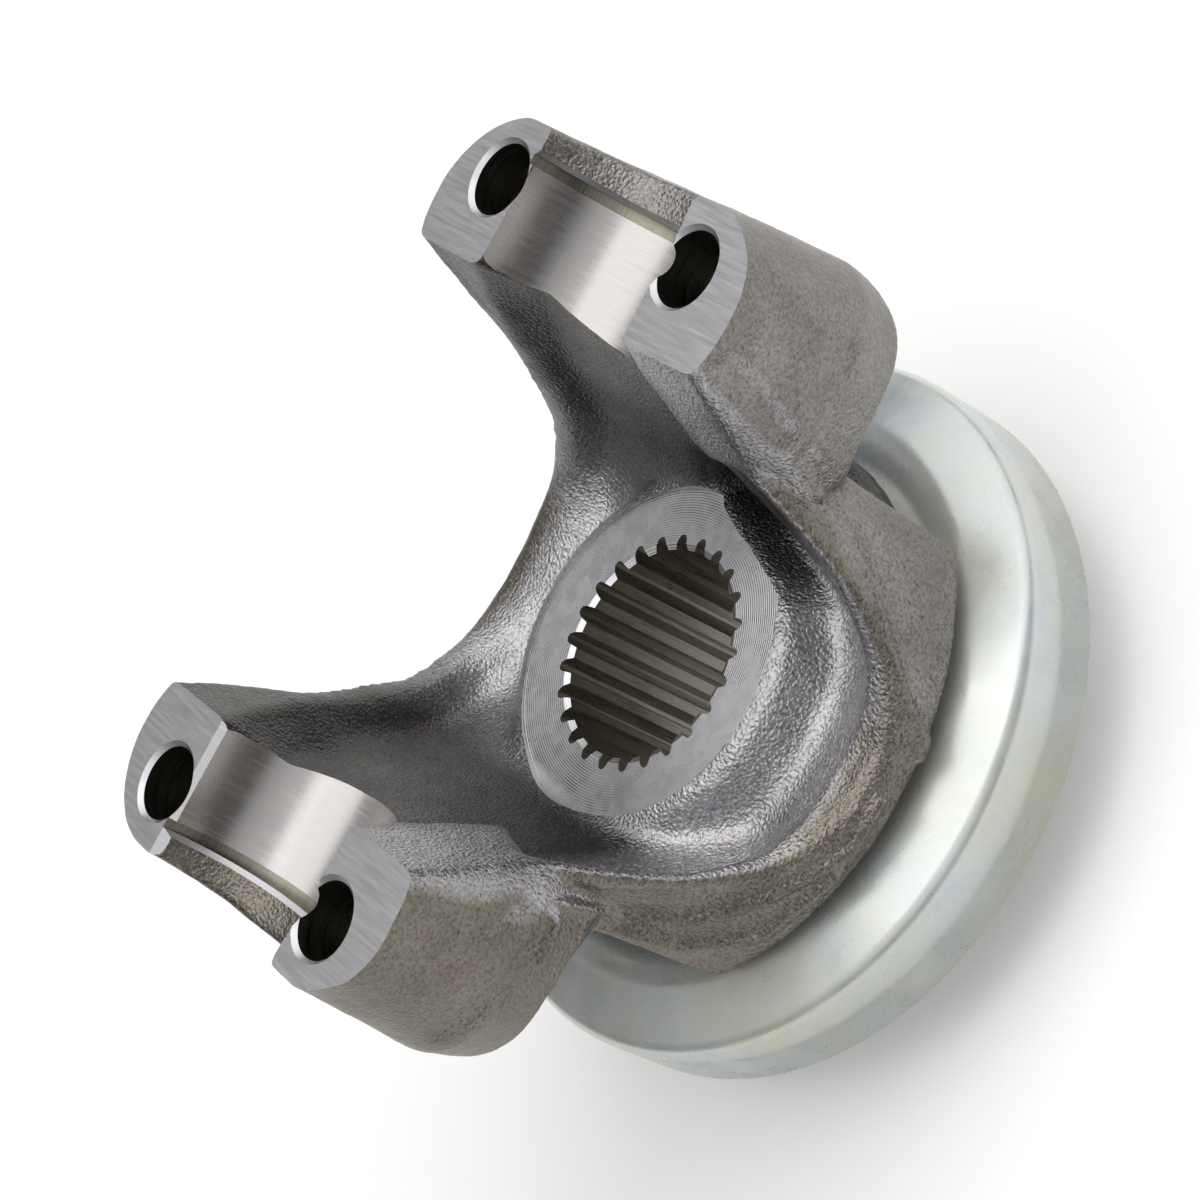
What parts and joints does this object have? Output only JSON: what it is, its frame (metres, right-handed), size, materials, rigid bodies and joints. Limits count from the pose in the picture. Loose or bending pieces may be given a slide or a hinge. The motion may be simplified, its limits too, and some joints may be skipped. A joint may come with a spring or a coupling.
{
  "type": "forged end yoke",
  "caption": "Forged end yoke for a universal joint: two ears with half-round bearing saddles, a splined hub and a pressed-on dust shield.",
  "frame": {"origin": "on the hub's axis, in the plane of the journal's end face, which the part stands on", "axes": "+Z along the hub's axis, from the journal to the ears; +X along the bearing caps' axis, from one ear to the other"},
  "size_m": [0.0922, 0.0826, 0.07],
  "materials": {
    "forged_steel": "shot-blasted forging with bright machined seats",
    "zinc_plate": "bright zinc plate, semi-gloss"
  },
  "bodies": {
    "root": {"forged_yoke": "forged_steel", "dust_shield": "zinc_plate"}
  },
  "joints": []
}
